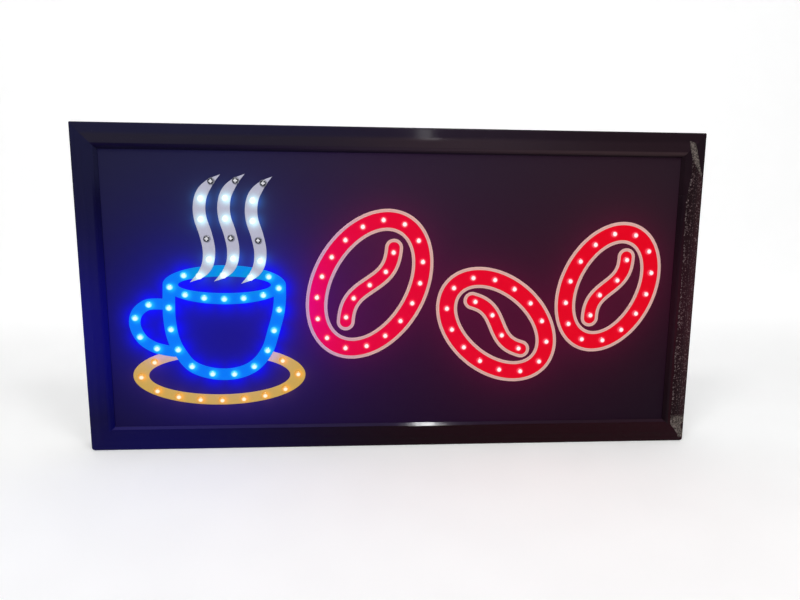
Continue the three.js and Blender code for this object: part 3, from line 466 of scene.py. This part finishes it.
def tape_skin(add, where, axes):
    """Where the tape's skin lies, and its colour: an upright strip with a ragged left edge, a
    slanting cut at the top and a notch near the bottom, speckled brown with two fine wrinkles, and
    torn to pale grey at both ends."""
    drifts = []
    for size, detail, rough, reach in ((22.0, 1.0, 0.5, 0.003), (3.0, 3.0, 0.6, 0.0022)):
        inputs = {"Vector": where, "Scale": metre / size, "Detail": detail, "Roughness": rough}
        off = add("Math", (add("TexNoise", inputs), 0.5), **minus)
        drifts.append(add("Math", (off, reach), **times))
    ragged = drifts[1]
    left = add("Math", drifts, **plus)
    for start, end, at_start, at_end in (
        (0.24, 0.12, 0.2268, 0.2282), (0.018, 0.003, 0.0, 0.0085),
        (0.188, 0.224, 0.0, 0.0031), (0.228, 0.243, 0.0, -0.0030),
    ):
        bend = add("MapRange", (axes["Z"], start, end, at_start, at_end), **soft)
        left = add("Math", (left, bend), **plus)
    from_left = add("Math", (axes["X"], left), **minus)
    # Lines that slant over the rail: X * slope + Z is the same all along one of them.
    steep, gentle, middling = (
        add("Math", (add("Math", (axes["X"], slope), **times), axes["Z"]), **plus)
        for slope in (3.08, 0.4, 1.43)
    )
    cut, notch, foot = (
        add("Math", (value, ragged), **plus)
        for value in (steep, blob(add, axes, 0.2414, 0.0132, 0.0036, 0.0040), axes["Z"])
    )
    share = 0.95  # the frame shows through the skin a little
    for value, outside, inside in (
        (from_left, 0.0, 0.0004), (cut, 0.9562, 0.9542), (notch, 0.55, 0.45),
        (gentle, 0.3348, 0.3338), (foot, 0.0030, 0.0040), (axes["Y"], -0.004, -0.0065),
    ):
        limit = add("MapRange", (value, outside, inside), **soft)
        share = add("Math", (share, limit), **times)
    speckle = add("TexNoise", {
        "Vector": where, "Scale": metre / 1.3, "Detail": 3.0, "Roughness": 0.75,
    })
    rightwards = add("MapRange", (axes["X"], 0.2300, 0.2385), **soft)
    brown = add("Mix", {0: rightwards, 6: rgba("18080d"), 7: rgba("2a161a")}, **blend)
    specks = add("MapRange", (speckle, 0.55, 0.68), **soft)
    body = add("Mix", {0: specks, 6: brown, 7: rgba("826c6e")}, **blend)
    wrinkles = []
    for x, outside, inside, strength in (
        (0.2338, 0.0008, 0.0003, 0.85), (0.2356, 0.0005, 0.0002, 0.8),
    ):
        off = add("Math", (add("Math", (axes["X"], x), **minus),), **unsigned)
        wrinkles.append(add("MapRange", (off, outside, inside, 0.0, strength), **soft))
    wrinkled = add("Math", wrinkles, **larger)
    body = add("Mix", {0: wrinkled, 6: body, 7: rgba("140a0f")}, **blend)
    grain = add("MapRange", (speckle, 0.40, 0.64), **soft)
    pale = add("Mix", {0: grain, 6: rgba("37302e"), 7: rgba("80756f")}, **blend)
    torn_head = add("MapRange", (middling, 0.5575, 0.5603), **soft)
    torn_foot = add("MapRange", (axes["Z"], 0.0235, 0.0205), **soft)
    torn = add("Math", (torn_head, torn_foot), use_clamp=True, **plus)
    colour = add("Mix", {0: torn, 6: body, 7: pale}, **blend)
    off_edge = add("Math", (add("Math", (from_left, 0.0006), **minus),), **unsigned)
    near_edge = add("MapRange", (off_edge, 0.0008, 0.0003), **soft)
    frayed = add("MapRange", (speckle, 0.52, 0.60, 0.0, 0.6), **soft)
    lifted = add("Math", (near_edge, frayed), **times)
    return share, add("Mix", {0: lifted, 6: colour, 7: rgba("8a7c7c")}, **blend)


def spill_vinyl():
    """Matt black vinyl over the panel: fine grain, a painted sheen that makes it paler towards the
    top, bluish at the left and reddish at the right, and the painted light that the lamps throw on
    it, held by the mesh."""
    made, add, shader, where = finish(
        "matt_vinyl_panel", IOR=1.46, Specular_IOR_Level=0.08, Emission_Strength=1.0,
    )
    grain = add("TexNoise", {"Vector": where, "Scale": metre / 0.8})
    axes = add("SeparateXYZ", (where,)).outputs
    across = add("MapRange", (axes["X"], -0.24, 0.2), **soft)
    upwards = add("MapRange", (axes["Z"], 0.09, 0.25), **soft)
    # Painted sheen: paler towards the top than the dark foot, bluish at the left and reddish at the
    # right.
    painted_sheen = add("Mix", {0: across, 6: rgba("1c1e2c"), 7: rgba("20161b")}, **blend)
    dark = add("Mix", {0: upwards, 6: rgba("08040a"), 7: painted_sheen}, **blend)
    pale = add("Math", (grain, 0.08), **times)
    thrown = add("Attribute", attribute_name="spill")
    feed(shader, {
        "Base Color": add("Mix", {0: pale, 6: dark, 7: rgba("3a3038")}, **blend),
        "Roughness": add("MapRange", (grain, 0.2, 0.8, 0.50, 0.62), **soft),
        "Emission Color": add("Mix", {0: faces_front(add), 6: black, 7: thrown}, **blend),
        "Normal": add("Bump", {
            "Height": grain, "Distance": 0.05 * millimetre, "Strength": 0.25,
        }),
    })
    return made


def printed_film(name, code, border_code=None):
    """Glossy printed vinyl film: flat colour with a faint print screen, lit from its lamps as the
    mesh says. With a border, the film turns to the border's colour outside its edge, with a fine
    darker line in it; the border is painted cooler towards the cup, as the cup's blue light would
    make it, and gives off a faint painted glow."""
    made, add, shader, where = finish(
        name, IOR=1.46, Specular_IOR_Level=0.06, Emission_Strength=1.0,
    )
    screen = add("TexNoise", {"Vector": where, "Scale": metre / 0.7, "Detail": 1.0})
    ink = add("Math", (screen, 0.3), **times)
    tint = add("Mix", {0: ink, 6: rgba(code), 7: black}, **blend)
    glow = add("Attribute", attribute_name="spill")
    if border_code:
        edge = add("Attribute", attribute_name="edge").outputs["Fac"]
        line_out = add("MapRange", (edge, -1.55, -1.25), **soft)
        line_in = add("MapRange", (edge, -0.75, -1.05), **soft)
        line = add("Math", (add("Math", (line_out, line_in), **times), 0.14), **times)
        x = add("SeparateXYZ", (where,)).outputs["X"]
        # Painted light: the border turns cooler towards the cup as its blue light would make it,
        # and gives off a faint painted glow of its own colour.
        painted_cup_light_share = add("MapRange", (x, -0.01, -0.07), **soft)
        outline = add("Mix", {0: painted_cup_light_share, 6: rgba(border_code), 7: rgba("c49ac0")}, **blend)
        lined = add("Mix", {0: line, 6: outline, 7: rgba("7a484a")}, **blend)
        faint = add("Mix", {0: 0.22, 6: black, 7: outline}, **blend)
        inside = add("MapRange", (edge, -0.12, 0.12), **soft)
        tint = add("Mix", {0: inside, 6: lined, 7: tint}, **blend)
        glow = add("Mix", {0: inside, 6: faint, 7: glow}, **blend)
    feed(shader, {
        "Base Color": tint,
        "Roughness": add("MapRange", (screen, 0.2, 0.8, 0.30, 0.42), **soft),
        "Emission Color": glow,
        "Normal": add("Bump", {
            "Height": screen, "Distance": 0.03 * millimetre, "Strength": 0.15,
        }),
    })
    return made


def across_dome(add, x, z):
    """Distance in millimetres from a spot x, z off a dome's own axis."""
    squares = []
    for name, middle in (("across", x), ("upward", z)):
        place = add("Attribute", attribute_name=name).outputs["Fac"]
        off = add("Math", (place, middle), **minus)
        squares.append(add("Math", (off, off), **times))
    return add("Math", (add("Math", squares, **plus),), **root)


def lit_epoxy(name, core_code, rim_code, bright, full, shift):
    """Water-clear epoxy of a lit lamp: the chip burns nearly white out to `bright` millimetres
    round a spot `shift` off the axis, and turns to the lamp's own colour by `full` millimetres,
    with a duller skirt."""
    made, add, shader, where = finish(
        name, Base_Color=rgba("141414"), Roughness=0.12, IOR=1.53, Emission_Strength=1.0,
    )
    off = across_dome(add, *shift)
    spot = add("MapRange", (off, bright, full, 1.0, 0.0), **soft)
    cloud = add("TexNoise", {"Vector": where, "Scale": metre / 0.6, "Detail": 1.0})
    flecks = add("Math", (cloud, 0.08), **times)
    core = add("Math", (spot, flecks), use_clamp=True, **plus)
    colour = add("Mix", {0: core, 6: rgba(rim_code), 7: rgba(core_code)}, **blend)
    skirt = add("MapRange", (off, 2.2, 3.4, 0.0, 0.35), **soft)
    feed(shader, {"Emission Color": add("Mix", {0: skirt, 6: colour, 7: black}, **blend)})
    return made


def dark_epoxy():
    """Water-clear epoxy of an unlit lamp: it takes the film's grey, shaded at the lower left; its
    lens draws the dark of its own inside to a ring, and a painted highlight in the shape of the
    chip's cross of bond wire and cup shows pale over that ring."""
    made, add, shader, where = finish(
        "clear_epoxy_unlit", Roughness=0.1, IOR=1.53, Specular_IOR_Level=0.3,
    )
    off = across_dome(add, 0.0, 0.0)
    past_start = add("MapRange", (off, 1.05, 1.35), **soft)
    before_end = add("MapRange", (off, 2.35, 2.05), **soft)
    ring = add("Math", (past_start, before_end), **times)
    shade = add("MapRange", (across_dome(add, -0.9, -0.7), 0.5, 1.1, 0.5, 0.0), **soft)
    lens = add("Mix", {0: shade, 6: rgba("b2b4c2"), 7: rgba("6a6c80")}, **blend)
    # The pale cross is a painted highlight of the chip's bond wire and cup.
    bars = []
    for name in ("across", "upward"):
        place = add("Attribute", attribute_name=name).outputs["Fac"]
        from_bar = add("Math", (place,), **unsigned)
        bars.append(add("MapRange", (from_bar, 0.25, 0.55, 1.0, 0.0), **soft))
    reach = add("MapRange", (off, 1.2, 1.7, 1.0, 0.0), **soft)
    cross = add("Math", (add("Math", bars, **larger), reach), **times)
    cloud = add("TexNoise", {"Vector": where, "Scale": metre / 0.7, "Detail": 1.0})
    drift = add("Math", (cloud, 0.25), **times)
    lens = add("Mix", {0: drift, 6: lens, 7: rgba("70727f")}, **blend)
    lens = add("Mix", {0: ring, 6: lens, 7: rgba("20202c")}, **blend)
    feed(shader, {"Base Color": add("Mix", {0: cross, 6: lens, 7: rgba("f4f4f8")}, **blend)})
    return made


def simple(name, code_a, code_b, size, rough, depth, strength, **sockets):
    """A moulded, plated or sleeved finish: a grain of that size with bumps of that depth, both in
    millimetres, and two close colours that drift more slowly."""
    drift = 8 * size
    made, add, shader, where = finish(name, **sockets)
    mottled(add, shader, where, code_a, code_b, drift, *rough)
    grain = add("TexNoise", {"Vector": where, "Scale": metre / size})
    bumps = {"Height": grain, "Distance": depth * millimetre, "Strength": strength}
    feed(shader, {"Normal": add("Bump", bumps)})
    return made


def solder_mask():
    """Green solder mask over glass-fibre board: glossy, with paler copper tracks under it every
    6 mm, because the wave runs once in 2 pi / (20 * its scale) metres."""
    made, add, shader, where = finish("solder_mask_board", IOR=1.5, Roughness=0.3)
    wave = {"Vector": where, "Scale": 52.0, "Distortion": 2.5, "Detail": 1.0}
    stripes = add("TexWave", wave, bands_direction="Z").outputs["Fac"]
    track = add("MapRange", (stripes, 0.80, 0.86), **soft)
    feed(shader, {
        "Base Color": add("Mix", {0: track, 6: rgba("1f5a31"), 7: rgba("3f8048")}, **blend),
        "Normal": add("Bump", {
            "Height": track, "Distance": 0.05 * millimetre, "Strength": 0.5,
        }),
    })
    return made


# Panel and films


def panel_spill(x, z):
    """Light on the panel: what one lamp of each colour adds, times that colour's spill. The cup's
    and the beans' light carries far, the steam's and the saucer's stays close, and halos hug the
    cup and the steam. Strong blue drowns red and green: each is times (1 - blue) ** 1.5."""
    light = 0.0
    for colour, size, power, code in (
        ("blue", 8.0, 1.0, "0a0d94"), ("red", 12.0, 1.15, "2f0010"),
        ("white", 5.0, 1.5, "436693"), ("amber", 6.0, 1.5, "402800"),
    ):
        light = light + spill(x, z, colour, size, power) * linear(code)
    for colour, size, code in (("blue", 9.0, "0010c8"), ("white", 5.5, "145c84")):
        light = light + halo(x, z, colour, size) * linear(code)
    light = np.minimum(light, 1.0)
    light[:, :2] *= (1 - light[:, 2:]) ** 1.5
    return light


def make_panel():
    """The panel's plate: an even grid over its front, with its thickness behind it. The grid is
    this fine because its points hold the light that the lamps throw."""
    margin, step = 12.0, 1.5
    lines = []
    for half in (sign_width / 2 - margin, sign_height / 2 - margin):
        lines.append(np.linspace(-half, half, round(2 * half / step) + 1))
    x, z = np.meshgrid(*lines, indexing="ij")
    piece = front_sheet(
        "panel_sheet", x, z, panel_front, spill_vinyl(), {"spill": panel_spill(x, z)},
        thickness=panel_back - panel_front,
    )
    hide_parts("sign_panel")


def film_glow(x, z, colour, base, hot, size, extra=0.0):
    """Light that leaves a film: its own colour, turning hot inside each lamp's halo, and what
    others add."""
    near = halo(x, z, colour, size)
    return np.minimum((1 - near) * base + near * linear(hot) + extra, 1.0)


def cup_glow(x, z):
    """The cup's blue light; the steam's white lamps turn the far side of the rim greener."""
    green = halo(x, z, "white", size=11.0)
    base = (1 - green) * linear("0076e2") + green * linear("0098b8")
    return film_glow(x, z, "blue", base, hot="20ccff", size=3.0)


def make_cup():
    """Rim between two ovals, wall and handle across their own lines; each film lies a step behind
    the last."""
    blue = printed_film("blue_film", "051f95")
    width, height = rim["width"], rim["height"]
    middle = (rim["x"], rim["z"])
    handle_start = (rim["x"] - width / 2, rim["z"])
    turns = round_turns(180)
    outer = oval(width, height, turns) + middle
    inner = oval(width - 2 * rim["side"], height - 2 * rim["front"], turns) + middle
    wall = spline(cup_side_shares * (width, cup_depth) + middle, count=220)
    handle = spline(handle_shares * (handle_reach, cup_depth) + handle_start, count=120)
    sheets = (
        ("cup_rim_print", between(outer, inner), True),
        ("cup_wall_print", ribbon(wall, cup_band / 2)[:2], False),
        ("cup_handle_print", ribbon(handle, handle_band / 2)[:2], False),
    )
    for number, (name, (x, z), wrap) in enumerate(sheets):
        depth = film_front + number * film_step
        piece = front_sheet(name, x, z, depth, blue, {"spill": cup_glow(x, z)}, wrap)
        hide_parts("cup_film")


def make_saucer():
    """An open band between two ovals that passes behind the cup, whose blue light it takes."""
    amber = printed_film("amber_film", "957b3a")
    width, height = saucer["width"], saucer["height"]
    middle = (rim["x"] - saucer["shift"], rim["z"] - saucer["drop"])
    turns = np.linspace(saucer["start"], saucer["end"], 220)
    outer = oval(width, height, turns) + middle
    inner = oval(width - 2 * saucer["side"], height - 2 * saucer["front"], turns) + middle
    x, z = between(outer, inner)
    cast = np.minimum(4 * spill(x, z, "blue", size=5.0), 1.0) * linear("1034b4")
    glow = film_glow(x, z, "amber", linear("aa8838"), hot="f09a10", size=3.0, extra=cast)
    piece = front_sheet(
        "saucer_print", x, z, film_front + 3 * film_step, amber, {"spill": glow}, thickness=0.2,
    )
    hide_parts("saucer_film")


def make_steam():
    """Wisps: bands along their lines. With t the distance from the nearer tip over the taper's
    length, half-width = full * (t ** -4 + 1) ** -0.25, a smooth minimum of t and 1."""
    grey = printed_film("grey_film", "8b8b99")
    for name, (foot_x, foot_z) in wisp_foot_shares.items():
        foot = (rim["x"] + foot_x * rim["width"], rim["z"] + foot_z * rim["height"])
        line = spline(wisp_shares * (wisp_reach, wisp_height) + foot, count=200)
        run = lengths(line)
        tip = np.maximum(np.minimum(run, run[-1] - run), 0.1) / wisp_taper
        half = wisp_band / 2 * (tip**-4 + 1) ** -0.25
        x, z, _ = ribbon(line, half)
        # Painted light: the white lamps' bluish spill on the grey film.
        painted_cool_light = spill(x, z, "white", size=5.0) * linear("304c5c")
        glow = film_glow(x, z, "white", linear("908e9e"), hot="ccf8ff", size=3.9, extra=painted_cool_light)
        piece = front_sheet(f"{name}_print", x, z, steam_front, grey, {"spill": glow})
        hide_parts(f"{name}_film")


def turned_to(points, bean):
    """Points about a bean's middle, turned by its tilt and moved to its place."""
    cos, sin = np.cos(bean["tilt"]), np.sin(bean["tilt"])
    return points @ np.array([[cos, sin], [-sin, cos]]) + bean["at"]


def red_glow(x, z):
    """The beans' red light, a little bluer towards the lit cup."""
    painted_cool_light = spill(x, z, "blue", size=8.0, power=1.0) * linear("20009c")
    return film_glow(x, z, "red", linear("c8000e"), hot="f01c3c", size=2.4, extra=painted_cool_light)


def bean_outline(bean):
    """Oval band from the border's outside to its inside, with the distance into the red."""
    inset = np.linspace(-border, bean_band + border, 35)
    turns = round_turns(220)
    rings = [
        turned_to(oval(bean["length"] - 2 * d, bean["width"] - 2 * d, turns), bean) for d in inset
    ]
    x, z = np.moveaxis(np.stack(rings, 1), -1, 0)
    return x, z, np.broadcast_to(np.minimum(inset, bean_band - inset), x.shape)


def bean_crease(bean):
    """Band with round ends along one wave of a sine, with the distance into the red: half the
    band's width - the distance to its line."""
    along = np.linspace(0, 1, 81)
    reach = crease_reach * (bean["length"] - 2 * bean_band)
    sway = crease_sway * (bean["width"] - 2 * bean_band)
    line = np.stack([(along - 0.5) * reach, sway * np.sin(2 * np.pi * along)], -1)
    start = line[0] - (line[1] - line[0]) / np.linalg.norm(line[1] - line[0]) * border
    end = line[-1] + (line[-1] - line[-2]) / np.linalg.norm(line[-1] - line[-2]) * border
    line = np.concatenate([[start], line, [end]])
    run = lengths(line)[-1] * (0.5 - 0.5 * np.cos(np.linspace(0, np.pi, 161)))
    radius = crease_band / 2 + border
    past = np.maximum(radius - np.minimum(run, run[-1] - run), 0)
    half = np.sqrt(np.maximum(radius**2 - past**2, 1e-4))
    x, z, off = ribbon(turned_to(at_lengths(line, run), bean), half, columns=27)
    return x, z, crease_band / 2 - np.hypot(past[:, None], off)


def make_beans():
    """Each bean's outline and its crease; `edge` is the distance into the red in millimetres."""
    red = printed_film("red_film", "8e0012", "d6aaa2")
    for name, bean in beans.items():
        for part, (x, z, edge), wrap in (
            (name, bean_outline(bean), True), (f"{name}_crease", bean_crease(bean), False),
        ):
            values = {"spill": red_glow(x, z), "edge": edge.ravel()}
            piece = front_sheet(f"{part}_print", x, z, film_front, red, values, wrap)
            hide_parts(f"{part}_film")


# Lamp domes and hole rings


def make_domes(name, places, look):
    """Bullet lenses: a skirt and a cap turned about each lamp's axis, closed at the tip, all in one
    mesh. `across` and `upward` are the distances from the lamp's own axis."""
    radius = np.array([2.56, 2.56, 2.38, 1.90, 1.10])  # of each ring, from the panel to the tip
    depth = np.array([2.70, 1.90, 1.28, 0.88, 0.62])
    tip_depth, around = 0.54, 14
    angle = 2 * np.pi * np.arange(around) / around
    x = np.append((radius[:, None] * np.cos(angle)).ravel(), 0.0)
    z = np.append((radius[:, None] * np.sin(angle)).ravel(), 0.0)
    y = np.append(np.repeat(depth, around), tip_depth)
    rows, columns = np.divmod(grid_faces(len(radius), around + 1), around + 1)
    quads = (rows * around + columns % around)[:, ::-1].tolist()
    last = (len(radius) - 1) * around
    cap = [[last + a, last + (a + 1) % around, len(x) - 1] for a in range(around)]
    count = len(places)
    faces = [[index + len(x) * k for index in face] for k in range(count) for face in quads + cap]
    points = placed((places[:, :1] + x).ravel(), np.tile(y, count), (places[:, 1:] + z).ravel())
    values = {"across": np.tile(x, count), "upward": np.tile(z, count)}
    piece = mesh_piece(name, points, faces, look, values)


def make_hole_rings():
    """Grey drilled edges round the unlit lamps: a flat ring from just inside the lens's edge to a
    little past it, in front of the film."""
    grey, add, shader, where = finish("drilled_edge", Roughness=0.6)
    mottled(add, shader, where, "5c5c6a", "74747f", 2.0, 0.5, 0.7)
    outer, inner = (oval(width, width, round_turns(24)) for width in (5.6, 4.9))
    lift, thickness = 0.06, 0.05
    for name, places in unlit.items():
        for number, place in enumerate(places):
            x, z = between(outer + place, inner + place, columns=3)
            piece = front_sheet(
                f"{name}_hole_{number + 1}", x, z, steam_front - lift, grey, {}, True, thickness,
            )


def make_lamp_domes():
    """The lit domes of every string in its own colour, and the steam's unlit ones."""
    blue = lit_epoxy("clear_epoxy_blue", "e4ffff", "30d4ff", 0.9, 2.3, (0.6, -0.3))
    pale = lit_epoxy("clear_epoxy_white", "f6ffff", "b4f2ff", 2.2, 3.1, (0.7, -0.3))
    amber = lit_epoxy("clear_epoxy_amber", "fff8dc", "f0a428", 0.8, 2.0, (0.7, -0.4))
    red = lit_epoxy("clear_epoxy_red", "fff4f4", "f0304c", 1.15, 1.9, (0.0, 0.0))
    looks = {
        "cup": (blue, "blue_lamp"), "saucer": (amber, "amber_lamp"),
        **{name: (pale, "white_lamp") for name in wisp_foot_shares},
        **{name: (red, "red_lamp") for name in beans},
    }
    for name, (look, slot) in looks.items():
        make_domes(f"{name}_domes", lit[name], look)
    dark = dark_epoxy()
    for name, places in unlit.items():
        make_domes(f"{name}_dark_domes", places, dark)


make_panel()
make_cup()
make_saucer()
make_steam()
make_beans()
make_lamp_domes()
make_hole_rings()


# Finishes of the carried-over nodes


def dress_nodes():
    """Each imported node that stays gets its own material, worked out from what the real piece is
    made of: two colours, the grain's size, roughness from and to, depth and strength of bumps."""
    steel = simple(
        "zinc_plated_steel", "aeb2b8", "c8cacc", 0.9, (0.22, 0.38), 0.02, 0.2, Metallic=1.0,
    )
    cover = simple("textured_abs_cover", "18181a", "222224", 0.6, (0.48, 0.62), 0.08, 0.6, IOR=1.5)
    nylon = simple("moulded_nylon_knob", "8a8a92", "a6a6ae", 0.5, (0.38, 0.52), 0.03, 0.3, IOR=1.5)
    socket = simple("glass_filled_nylon", "141416", "202024", 0.5, (0.4, 0.55), 0.04, 0.4, IOR=1.5)
    package = simple("epoxy_package", "19191b", "242426", 0.3, (0.5, 0.65), 0.03, 0.4, IOR=1.5)
    sleeve = simple("sleeved_capacitor", "1c2c4c", "27406c", 1.0, (0.25, 0.35), 0.02, 0.2, IOR=1.5)
    header = simple("ivory_nylon_header", "ded8c6", "ece8da", 0.6, (0.42, 0.55), 0.03, 0.3, IOR=1.5)
    wire = simple("pvc_lead", "303036", "44444c", 0.8, (0.38, 0.5), 0.03, 0.3, IOR=1.5)
    epoxy = simple("clear_epoxy_string", "c8ccd0", "e4e6e6", 1.2, (0.2, 0.35), 0.03, 0.2, IOR=1.53)
    looks = {
        "front_frame": moulded_gloss_abs(), "back_cover": cover, "switch_slider": nylon,
        "inlet_socket": socket, "controller_board": solder_mask(), "flasher_chip": package,
        "capacitor": sleeve, "lead_header": header,
    }
    endings = {"_lead": wire, "_lamps": epoxy, "_transistor": package}
    for name, piece in nodes.items():
        look = looks.get(name, steel)
        for ending, other in endings.items():
            if name.endswith(ending):
                look = other
        piece.data.materials.clear()
        piece.data.materials.append(look)


dress_nodes()


# Floor, backdrop and light


def make_studio():
    """A pale floor that curves up into a wall behind: a profile of two straights and a quarter
    turn, carried along X. It gives off a little light, more towards the wall, only for what looks
    at it, so that it is white and still takes a shadow."""
    radius, wall, front, side, top = 0.5, 1.4, -6.0, 7.0, 2.6
    turn = np.linspace(0, np.pi / 2, 17)
    y = np.concatenate([[front, 0.0], wall - radius + radius * np.sin(turn), [wall]])
    z = np.concatenate([[0.0, 0.0], radius - radius * np.cos(turn), [top]])
    x = np.linspace(-side, side, 9)
    points = np.stack(np.broadcast_arrays(x[:, None], y[None, :], z[None, :]), -1).reshape(-1, 3)
    made, add, shader, where = finish("paper_sweep", Roughness=0.9)
    mottled(add, shader, where, "eeeeee", "f1f1f1", 40.0, 0.85, 0.95)
    path = add("LightPath").outputs
    mirrored = add("Math", (path["Is Glossy Ray"], path["Is Transmission Ray"]), **larger)
    looked_at = add("Math", (path["Is Camera Ray"], mirrored), **larger)
    y_place = add("SeparateXYZ", (where,)).outputs["Y"]
    level = add("MapRange", (y_place, 0.1, 0.9, 0.22, 0.5), **soft)
    strength = add("Math", (looked_at, level), **times)
    lift = add("Emission", {"Color": white, "Strength": strength})
    total = add("AddShader", (shader, lift))
    feed(made.node_tree.get_output_node("ALL"), {"Surface": total})
    faces = grid_faces(len(x), len(y))[:, ::-1]
    floor = mesh_piece("paper_sweep", points, faces, made, body=None)


def make_world():
    """An even studio: white where it is looked at, and as a light dimmer in front of the sign than
    behind it, so that the glossy frame stays dark as in a dim room."""
    world = bpy.data.worlds.new("studio")
    bpy.context.scene.world = world
    world.use_nodes = True
    world.node_tree.nodes.clear()
    add = partial(add_node, world.node_tree)
    direction = add("TexCoord").outputs["Generated"]
    y_share = add("SeparateXYZ", (direction,)).outputs["Y"]
    room = add("MapRange", (y_share, -0.35, 0.25, 0.35, 0.85), **soft)
    looked_at = add("LightPath").outputs["Is Camera Ray"]
    strength = add("Math", (looked_at, room), **larger)
    add("OutputWorld", {"Surface": add("Background", {"Color": white, "Strength": strength})})


def make_lamp(name, place, target, size, radiance, lights=True):
    """A rectangular light that faces a point, size[0] across and size[1] up: power = radiance * pi
    * area. One that doesn't light is only mirrored, as a far lamp or doorway is in gloss
    plastic."""
    data = bpy.data.lights.new(name, "AREA")
    data.shape = "RECTANGLE"
    data.size, data.size_y = size
    data.energy = radiance * np.pi * size[0] * size[1]
    lamp = bpy.data.objects.new(name, data)
    away = np.array(place, float) - np.array(target, float)
    away /= np.linalg.norm(away)
    side = np.cross((0, 0, 1), away)
    side /= np.linalg.norm(side)
    up = np.cross(away, side)
    turn = Matrix((side, up, away)).transposed().to_4x4()
    lamp.matrix_world = Matrix.Translation(place) @ turn
    lamp.visible_diffuse = lights
    bpy.context.scene.collection.objects.link(lamp)


make_studio()
make_world()
sign_middle = (0, 0, 0.12)
softbox_size = (0.4, 0.4)
make_lamp("softbox_left", (-0.70, -1.0, 1.58), sign_middle, softbox_size, 18.0)
make_lamp("softbox_right", (0.75, -1.0, 1.58), sign_middle, softbox_size, 16.0)
for name, place, target, size, radiance in (
    ("ceiling_lamp", (0.142, -0.31, 1.17), (0.023, 0.001, 0.019), (0.05, 0.2), 240.0),
    ("doorway_strip", (0.225, -1.6, 1.25), (0.03, 0, 1.25), (0.06, 1.0), 13.0),
    ("doorway_lamp", (0.25, -1.59, 0.93), (0.03, 0, 0.93), (0.1, 0.2), 76.0),
):
    make_lamp(name, place, target, size, radiance, lights=False)

scene = bpy.context.scene
scene.view_settings.view_transform = "Standard"
